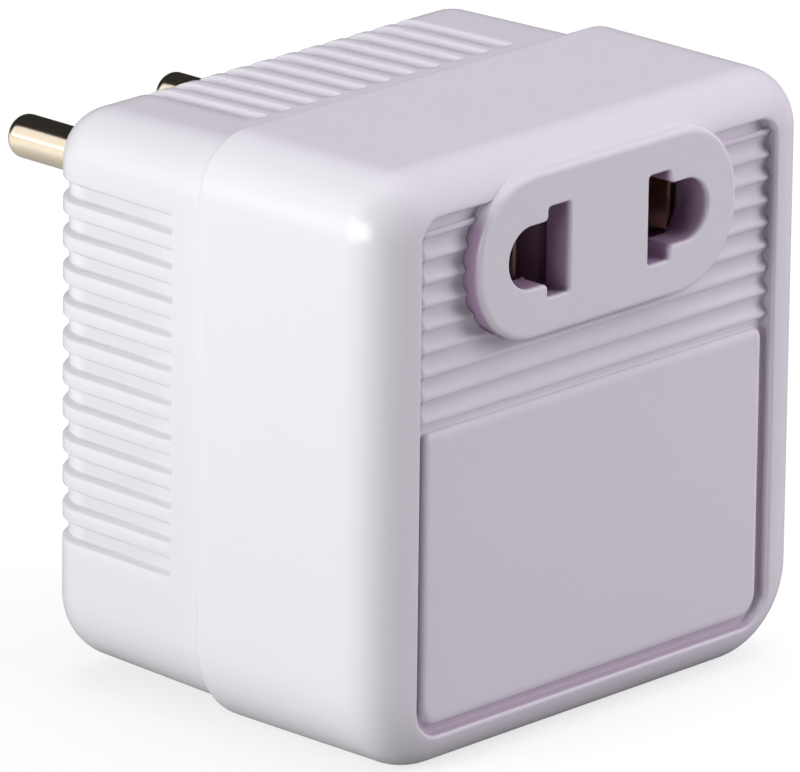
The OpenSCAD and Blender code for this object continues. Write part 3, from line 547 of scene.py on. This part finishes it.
def outlet_face_piece():
    """The outlet face: its plate with the openings, and the CAD node's own neck and post behind it."""
    skin = Skin()
    outlet_plate(skin)
    skin.kept("outlet_face", lambda p: p[:, 1] > RECESS_FLOOR - SLACK)
    return skin.build("outlet_face_insert")


def rear_housing_piece():
    """The rear housing: its grooved walls and flat back outside, and the CAD node's own inside."""
    skin = Skin()
    rear_back(skin, rear_walls(skin))
    skin.kept("rear_housing", in_rear)
    return skin.build("rear_housing_shell")


cover = front_cover_piece()
face = outlet_face_piece()
rear = rear_housing_piece()
pins = [turned_pin(-PIN_X, "plug_pin_left"), turned_pin(PIN_X, "plug_pin_right")]
for piece, node, slot in [
        (cover, "front_cover", "cover_white"), (face, "outlet_face", "cover_white"),
        (rear, "rear_housing", "housing_white"),
        (pins[0], "plug_pin_left", "plated_brass"), (pins[1], "plug_pin_right", "plated_brass")]:
    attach(piece, "root")
    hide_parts(node)


# Materials

FLOAT, COLOR, VECTOR = "NodeSocketFloat", "NodeSocketColor", "NodeSocketVector"
WHITE = (1, 1, 1, 1)

# Sockets of a colour Mix node
MIX_SHARE, MIX_FIRST, MIX_SECOND, MIX_RESULT = 0, 6, 7, 2


def socket_group(name, inputs, outputs):
    """Starts a shader node group with named sockets and returns its tree, input node and output node."""
    tree = bpy.data.node_groups.new(name, "ShaderNodeTree")
    for label, kind, value in inputs:
        socket = tree.interface.new_socket(label, in_out="INPUT", socket_type=kind)
        socket.default_value = value
    for label, kind in outputs:
        tree.interface.new_socket(label, in_out="OUTPUT", socket_type=kind)
    return tree, tree.nodes.new("NodeGroupInput"), tree.nodes.new("NodeGroupOutput")


def feed(tree, socket, value):
    """Links a socket to another node's output, or sets it to a plain value."""
    if isinstance(value, bpy.types.NodeSocket):
        tree.links.new(value, socket)
    else:
        socket.default_value = value


def put(tree, kind, **values):
    """Adds a node, sets its properties and feeds its sockets; an underscore in a name is a space there."""
    item = tree.nodes.new(kind)
    for key, value in values.items():
        if hasattr(item, key):
            setattr(item, key, value)
        else:
            feed(tree, item.inputs[key.replace("_", " ")], value)
    return item


def calculate(tree, operation, *values):
    """Adds a Math node on the values and returns its output."""
    item = put(tree, "ShaderNodeMath", operation=operation)
    for socket, value in zip(item.inputs, values):
        feed(tree, socket, value)
    return item.outputs[0]


def ramp(tree, value, start, end, low=0.0, curve="LINEAR"):
    """Adds a Map Range node that goes from low at the start to one at the end, and returns its output."""
    return put(tree, "ShaderNodeMapRange", interpolation_type=curve, Value=value,
               From_Min=start, From_Max=end, To_Min=low).outputs[0]


def noise(tree, at, scale, detail, roughness, distortion=0.0):
    """Adds a noise pattern and returns its value."""
    return put(tree, "ShaderNodeTexNoise", Vector=at, Scale=scale, Detail=detail,
               Roughness=roughness, Distortion=distortion).outputs["Fac"]


def mixed(tree, share, first, second, blend_type="MIX"):
    """Adds a Mix node that goes from the first to the second colour by a share, and returns its colour."""
    item = put(tree, "ShaderNodeMix", data_type="RGBA", blend_type=blend_type)
    feed(tree, item.inputs[MIX_SHARE], share)
    feed(tree, item.inputs[MIX_FIRST], first)
    feed(tree, item.inputs[MIX_SECOND], second)
    return item.outputs[MIX_RESULT]


def place_on(tree):
    """Adds the Object coordinates, which are the place on the piece in metres."""
    return put(tree, "ShaderNodeTexCoord").outputs["Object"]


def surface_group(name, *inputs):
    """Starts a group that makes a colour, a roughness and a height.

    It is given the place, two colours, a gloss and the spread of the gloss.
    """
    return socket_group(
        name,
        [("Vector", VECTOR, (0, 0, 0)), ("Colour", COLOR, WHITE), ("Second", COLOR, WHITE),
         ("Gloss", FLOAT, 0.3), ("Spread", FLOAT, 0.1), *inputs],
        [("Colour", COLOR), ("Roughness", FLOAT), ("Height", FLOAT)])


def end_surface_group(tree, source, sink, share, swing, height):
    """Ends a group of that kind.

    The share mixes its two colours, and its roughness is the gloss plus the swing times the spread.
    """
    given = source.outputs
    feed(tree, sink.inputs["Colour"], mixed(tree, share, given["Colour"], given["Second"]))
    scaled = calculate(tree, "MULTIPLY", swing, given["Spread"])
    feed(tree, sink.inputs["Roughness"], calculate(tree, "ADD", scaled, given["Gloss"]))
    feed(tree, sink.inputs["Height"], height)
    return tree


def moulded_group():
    """Moulded plastic: a faint cloud of colour, a flow-marked roughness and a fine uneven surface."""
    tree, source, sink = surface_group("moulded_plastic")
    at = source.outputs["Vector"]
    cloud = noise(tree, at, scale=55.0, detail=3.0, roughness=0.5)
    flow = noise(tree, at, scale=210.0, detail=4.0, roughness=0.6, distortion=0.6)
    peel = noise(tree, at, scale=1500.0, detail=2.0, roughness=0.5)
    grain = noise(tree, at, scale=7000.0, detail=1.0, roughness=0.5)
    swing = calculate(tree, "SUBTRACT", flow, 0.5)
    height = calculate(tree, "ADD", peel, calculate(tree, "MULTIPLY", grain, 0.25))
    return end_surface_group(tree, source, sink, cloud, swing, height)


def worked_group():
    """Worked metal: fine lines across one direction, a slow change of colour, and a lined roughness."""
    tree, source, sink = surface_group("worked_metal", ("Lines", FLOAT, 900.0))
    at = source.outputs["Vector"]
    stain = noise(tree, at, scale=160.0, detail=4.0, roughness=0.6)
    along = put(tree, "ShaderNodeSeparateXYZ", Vector=at).outputs["Y"]
    lines = put(tree, "ShaderNodeTexNoise", noise_dimensions="1D", W=along,
                Scale=source.outputs["Lines"], Detail=3.0).outputs["Fac"]
    swing = calculate(tree, "MULTIPLY", stain, lines)
    return end_surface_group(tree, source, sink, stain, swing, lines)


class Mask:
    """A node group that gives a mask of painted shade from the place on a piece, in millimetres of the
    rim's frame.
    """

    def __init__(self, name):
        """Starts the group: across, depth and height are X, Y and Z, and side is X without its sign."""
        self.tree, source, self.sink = socket_group(
            name, [("Vector", VECTOR, (0, 0, 0))], [("Mask", FLOAT)])
        part = put(self.tree, "ShaderNodeSeparateXYZ", Vector=source.outputs["Vector"])
        self.across, self.depth, self.height = part.outputs
        self.side = calculate(self.tree, "ABSOLUTE", self.across)

    def step(self, value, start, end):
        """A soft step that is zero at the start and one at the end."""
        shift = RIM_Y if value is self.depth else 0
        return ramp(self.tree, value, (start + shift) * MM, (end + shift) * MM, curve="SMOOTHSTEP")

    def times(self, first, *others):
        """The product of steps."""
        for item in others:
            first = calculate(self.tree, "MULTIPLY", first, item)
        return first

    def product(self, *steps):
        """Ends the group: the mask is the product of the steps."""
        feed(self.tree, self.sink.inputs["Mask"], self.times(*steps))
        return self.tree


# The recess's masks of painted shade end just outside its wall and below its floor
BORDER_IN, BORDER_OUT = 0.02, 0.06
BELOW_FLOOR = (1.5, 1.3)


def channel_shade_mask():
    """Painted shade in the recess's channel on its left: deep in the band between the panel and the
    recess's wall.
    """
    panel_in, panel_out, shallow, deep = 0.5, 0.2, 0.45, 1.1
    mask = Mask("channel_shade")
    return mask.product(
        mask.step(mask.across, panel_in - PANEL.half, -panel_out - PANEL.half),
        mask.step(mask.across, -BORDER_OUT - RECESS.half, -BORDER_IN - RECESS.half),
        mask.step(mask.depth, shallow, deep), mask.step(mask.depth, *BELOW_FLOOR),
        mask.step(mask.height, RECESS.low - BORDER_OUT, RECESS.low - BORDER_IN),
        mask.step(mask.height, RECESS.high + BORDER_OUT, RECESS.high + BORDER_IN))


def recess_shade_mask():
    """Painted shade on the recess's right wall and in the channel below the panel, both fading out towards
    the corners.
    """
    wall_start, wall_full, panel_in, panel_out = 0.35, 0.05, 0.3, 0.2
    low_start, low_full, top_start, top_full = 0.6, 2.4, 0.4, 1.6
    shallow, deep = 0.1, 0.5
    mask = Mask("recess_shade")
    right = mask.times(
        mask.step(mask.across, RECESS.half - wall_start, RECESS.half - wall_full),
        mask.step(mask.across, RECESS.half + BORDER_OUT, RECESS.half + BORDER_IN),
        mask.step(mask.height, RECESS.low + low_start, RECESS.low + low_full),
        mask.step(mask.height, RECESS.high - top_start, RECESS.high - top_full))
    low = mask.times(
        mask.step(mask.height, PANEL.low + panel_in, PANEL.low - panel_out),
        mask.step(mask.height, RECESS.low - BORDER_OUT, RECESS.low - BORDER_IN),
        mask.step(mask.side, RECESS.half - low_start, RECESS.half - low_full))
    return mask.product(calculate(mask.tree, "MAXIMUM", right, low),
                        mask.step(mask.depth, shallow, deep), mask.step(mask.depth, *BELOW_FLOOR))


def face_wall_shade_mask():
    """Painted shade on the outlet face's walls and tunnels: from the flat front inwards, fading out towards
    the top.
    """
    full_depth, top_start, top_full = 0.75, 2.0, 4.2
    mask = Mask("wall_shade")
    return mask.product(
        mask.step(mask.depth, FACE_Y, FACE_Y + full_depth),
        mask.step(mask.height, FACE.high - top_start, FACE.high - top_full))


def groove_shade_mask():
    """Painted shade on the floors of the rear housing's side grooves."""
    floor_start, floor_full, floor_last, floor_end = 0.75, 1.0, 1.4, 1.6
    run, round_in, round_out, row_fade = 0.2, 0.5, 1.0, 0.4
    reach = GROOVE_PITCH * GROOVE_COUNT / 2
    low, high = GROOVE_SIDE_Z - reach, GROOVE_SIDE_Z + reach
    mask = Mask("groove_shade")
    return mask.product(
        mask.step(mask.side, REAR.half - floor_start, REAR.half - floor_full),
        mask.step(mask.side, REAR.half - floor_end, REAR.half - floor_last),
        mask.step(mask.depth, GROOVE_START - run, GROOVE_START + run),
        mask.step(mask.depth, ROUND_START_Y + round_out, ROUND_START_Y - round_in),
        mask.step(mask.height, low - row_fade, low), mask.step(mask.height, high + row_fade, high))


MOULDED = moulded_group()
WORKED = worked_group()


def finish(name, group, colour, second, gloss, spread, bump, reach, **shader):
    """A material: the group's colour and roughness on a shader, and its height through a bump.

    Bump is the strength and reach the height of the relief in metres; plain values of the shader are set
    on its own sockets. Returns the material and its group node.
    """
    material = bpy.data.materials.new(name)
    material.use_nodes = True
    tree = material.node_tree
    body = tree.nodes["Principled BSDF"]
    part = put(tree, "ShaderNodeGroup", node_tree=group)
    feed(tree, part.inputs["Vector"], place_on(tree))
    for label, value in [("Colour", (*colour, 1)), ("Second", (*second, 1)),
                         ("Gloss", gloss), ("Spread", spread)]:
        feed(tree, part.inputs[label], value)
    relief = put(tree, "ShaderNodeBump", Height=part.outputs["Height"], Strength=bump, Distance=reach)
    feed(tree, body.inputs["Base Color"], part.outputs["Colour"])
    feed(tree, body.inputs["Roughness"], part.outputs["Roughness"])
    feed(tree, body.inputs["Normal"], relief.outputs["Normal"])
    for label, value in shader.items():
        feed(tree, body.inputs[label], value)
    return material, part


def gloss_white(name, colour, second):
    """The glossy white plastic of the outside, with hardly any relief."""
    return finish(name, MOULDED, colour, second, gloss=0.25, spread=0.03, bump=0.03, reach=0.02 * MM,
                  IOR=1.5)[0]


def plastic(name, colour, second, gloss, spread, **shader):
    """A plain plastic of the inside, with a fine relief."""
    return finish(name, MOULDED, colour, second, gloss, spread, bump=0.2, reach=0.05 * MM, **shader)[0]


def metal(name, colour, dull, gloss, spread, bump, lines, reach=0.03 * MM, metallic=1.0):
    """A worked metal; lines is how many fine lines it has along a metre."""
    material, part = finish(name, WORKED, colour, dull, gloss, spread, bump, reach, Metallic=metallic)
    feed(material.node_tree, part.inputs["Lines"], lines)
    return material


def shade(material, mask, tint):
    """Paints shade: multiplies a finish's colour by a darker tint where the mask of a node group is one."""
    tree = material.node_tree
    base = tree.nodes["Principled BSDF"].inputs["Base Color"]
    part = put(tree, "ShaderNodeGroup", node_tree=mask, Vector=place_on(tree))
    colour = base.links[0].from_socket
    feed(tree, base, mixed(tree, part.outputs["Mask"], colour, (*tint, 1), "MULTIPLY"))


def dress(material, *pieces):
    """Gives pieces their material; a name stands for the CAD node of that name."""
    for piece in pieces:
        mesh = (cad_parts[piece] if isinstance(piece, str) else piece).data
        mesh.materials.clear()
        mesh.materials.append(material)


cover_white = gloss_white("cover_white", (0.83, 0.765, 0.855), (0.82, 0.755, 0.845))
# Painted shade: darker colour in the recess's channel on the left, on its right wall and in its channel
# below the panel.
shade(cover_white, channel_shade_mask(), (0.38, 0.30, 0.39))
shade(cover_white, recess_shade_mask(), (0.76, 0.69, 0.76))
face_white = gloss_white("face_white", (0.83, 0.765, 0.855), (0.82, 0.755, 0.845))
# Painted shade on the outlet face's walls and tunnels.
shade(face_white, face_wall_shade_mask(), (0.54, 0.40, 0.53))
rear_white = gloss_white("rear_white", (0.80, 0.738, 0.824), (0.79, 0.728, 0.814))
# Painted shade on the floors of the rear's side grooves.
shade(rear_white, groove_shade_mask(), (0.88, 0.88, 0.88))
dress(cover_white, cover, "front_cover")
dress(face_white, face, "outlet_face")
dress(rear_white, rear, "rear_housing")

pin_plating = metal("pin_plating", (0.94, 0.83, 0.66), (0.88, 0.75, 0.57), 0.10, 0.14, 0.08, 5200.0)
contact_strip = metal("contact_strip", (0.97, 0.82, 0.60), (0.88, 0.71, 0.47), 0.2, 0.2, 0.15, 2600.0)
tinned = metal("tinned_metal", (0.72, 0.72, 0.73), (0.58, 0.58, 0.60), 0.3, 0.3, 0.2, 1800.0)
zinc = metal("zinc_steel", (0.66, 0.67, 0.70), (0.52, 0.53, 0.55), 0.28, 0.3, 0.15, 2200.0)
core_iron = metal("core_sheets", (0.30, 0.30, 0.32), (0.20, 0.20, 0.21), 0.45, 0.3, 0.9, 2900.0,
                  reach=0.06 * MM, metallic=0.8)
copper = metal("enamelled_copper", (0.66, 0.29, 0.12), (0.50, 0.20, 0.08), 0.3, 0.2, 0.3, 2000.0,
               reach=0.05 * MM, metallic=0.9)
dress(pin_plating, *pins, "plug_pin_left", "plug_pin_right")
dress(contact_strip, "outlet_contact_left", "outlet_contact_right")
dress(tinned, "pin_lug_left", "pin_lug_right", "bobbin_terminals")
dress(zinc, "pin_clamp_screw", "contact_holder_screw", "housing_screws", "core_strap")
dress(core_iron, "core_e_stack", "core_i_stack")
dress(copper, "winding_inner", "winding_outer")

tape = plastic("yellow_tape", (0.86, 0.66, 0.09), (0.78, 0.57, 0.06), 0.3, 0.1, IOR=1.6)
ivory = plastic("inner_ivory", (0.72, 0.68, 0.58), (0.66, 0.62, 0.52), 0.5, 0.12)
# Painted shade: the contact holder, seen only deep in the openings, gets a dark purple-brown that stands in
# for white plastic in shade.
holder_shade = plastic("inner_brown", (0.50, 0.32, 0.42), (0.54, 0.35, 0.45), 0.45, 0.12)
black = plastic("inner_black", (0.035, 0.035, 0.038), (0.05, 0.05, 0.053), 0.5, 0.12)
fuse_case = plastic("fuse_case", (0.70, 0.66, 0.57), (0.64, 0.60, 0.52), 0.35, 0.1)
wire_black = plastic("wire_black", (0.025, 0.025, 0.028), (0.035, 0.035, 0.038), 0.42, 0.1)
wire_red = plastic("wire_red", (0.50, 0.025, 0.02), (0.42, 0.02, 0.017), 0.4, 0.1)
dress(tape, "winding_tape", "winding_wrap")
dress(ivory, "bobbin")
dress(holder_shade, "contact_holder")
dress(black, "pin_clamp")
dress(fuse_case, "thermal_fuse")
dress(wire_black, "lead_live", "lead_neutral", "lead_out_right")
dress(wire_red, "lead_out_left")


# Floor, light and camera

def floor_finish():
    """A floor that glows pale for the camera.

    For a reflection it glows only behind the part and to its left, and elsewhere it stays dim. To all
    other light it is a dull grey that throws little back at the part.
    """
    glow, front_share, right_share = 0.72, 0.15, 0.1
    pale = bpy.data.materials.new("pale_floor")
    pale.use_nodes = True
    tree = pale.node_tree
    body = tree.nodes["Principled BSDF"]
    for label, value in [("Base Color", (0.35, 0.35, 0.35, 1)), ("Roughness", 0.9),
                         ("Specular IOR Level", 0.0), ("Emission Color", WHITE)]:
        feed(tree, body.inputs[label], value)
    path = put(tree, "ShaderNodeLightPath").outputs
    place = put(tree, "ShaderNodeSeparateXYZ", Vector=place_on(tree)).outputs
    # Painted shadow in reflections: the glow fades out near the part and to its right, where the part's
    # shadow lies.
    behind = ramp(tree, place["Y"], 0.03, 0.11, low=front_share)
    left = ramp(tree, place["X"], 0.02, -0.05, low=right_share)
    mirrored = calculate(tree, "MULTIPLY", calculate(tree, "MULTIPLY", path["Is Glossy Ray"], behind), left)
    seen = calculate(tree, "MAXIMUM", path["Is Camera Ray"], mirrored)
    feed(tree, body.inputs["Emission Strength"], calculate(tree, "MULTIPLY", seen, glow))
    return pale


def studio_floor():
    """A wide flat floor under the part."""
    reach = 6.0
    mesh = bpy.data.meshes.new("floor")
    mesh.from_pydata([(-reach, -reach, 0), (reach, -reach, 0), (reach, reach, 0), (-reach, reach, 0)],
                     [], [(0, 1, 2, 3)])
    mesh.materials.append(floor_finish())
    floor = bpy.data.objects.new("floor", mesh)
    bpy.context.scene.collection.objects.link(floor)


def studio_world():
    """A dim surround; a mirror-like reflection finds a pale wall in it to the left, behind the part."""
    dim = 0.03
    world = bpy.data.worlds.new("studio")
    bpy.context.scene.world = world
    world.use_nodes = True
    tree = world.node_tree
    direction = put(tree, "ShaderNodeTexCoord").outputs["Generated"]
    way = put(tree, "ShaderNodeSeparateXYZ", Vector=direction).outputs
    left = ramp(tree, way["X"], -0.33, -0.42)
    behind = ramp(tree, way["Y"], 0.3, 0.5)
    wall = calculate(tree, "MULTIPLY", left, behind)
    seen = calculate(tree, "MULTIPLY", wall, put(tree, "ShaderNodeLightPath").outputs["Is Glossy Ray"])
    surround = tree.nodes["Background"]
    feed(tree, surround.inputs["Color"], (1.0, 0.98, 1.0, 1))
    feed(tree, surround.inputs["Strength"], calculate(tree, "ADD", seen, dim))


def softbox(name, place, width, height, power, tint, mirrored=False):
    """A soft rectangular light that faces the part's middle, sized in metres and watts.

    Unless it is mirrored, it gives no highlights.
    """
    aim = Vector((0, 0, 0.027))
    data = bpy.data.lights.new(name, "AREA")
    data.shape = "RECTANGLE"
    data.size, data.size_y, data.energy, data.color = width, height, power, tint
    lamp = bpy.data.objects.new(name, data)
    lamp.location = place
    lamp.visible_glossy = mirrored
    lamp.rotation_euler = (Vector(place) - aim).to_track_quat("Z", "Y").to_euler()
    bpy.context.scene.collection.objects.link(lamp)


def photo_camera():
    """The camera of the photograph: its direction, distance and lens, with a slight roll."""
    turn, lift, roll = math.radians(-46.761), math.radians(18.178), math.radians(0.697)
    aim, distance = Vector((-0.003849, 0.020 + RIM_Y * MM, 0.0268)), 0.96947
    back = Vector((math.sin(turn) * math.cos(lift), -math.cos(turn) * math.cos(lift), math.sin(lift)))
    right = Vector((math.cos(turn), math.sin(turn), 0))
    up = back.cross(right)
    right, up = right * math.cos(roll) + up * math.sin(roll), up * math.cos(roll) - right * math.sin(roll)
    place = aim + back * distance
    data = bpy.data.cameras.new("photo_camera")
    data.sensor_width, data.lens = 36.0, 501.3
    camera = bpy.data.objects.new("photo_camera", data)
    camera.matrix_world = Matrix((
        (right.x, up.x, back.x, place.x), (right.y, up.y, back.y, place.y),
        (right.z, up.z, back.z, place.z), (0, 0, 0, 1)))
    bpy.context.scene.collection.objects.link(camera)
    bpy.context.scene.camera = camera


studio_floor()
studio_world()
softbox("left_box", (-0.60, 0.07, 0.14), 0.6, 0.34, 4.3, (0.92, 1.0, 0.925), mirrored=True)
softbox("rear_box", (-0.50, 0.46, 0.12), 0.4, 0.1, 0.12, (0.95, 1.0, 1.0), mirrored=True)
softbox("top_box", (0.15, 0.08, 0.68), 0.7, 0.7, 3.15, (0.985, 1.0, 1.02))
softbox("high_box", (0.55, -0.50, 0.60), 0.5, 0.5, 2.1, (1.0, 0.995, 1.02))
softbox("right_box", (0.60, -0.60, 0.25), 0.4, 0.4, 3.2, (1.0, 0.995, 1.02))
photo_camera()
bpy.context.scene.view_settings.view_transform = "Standard"
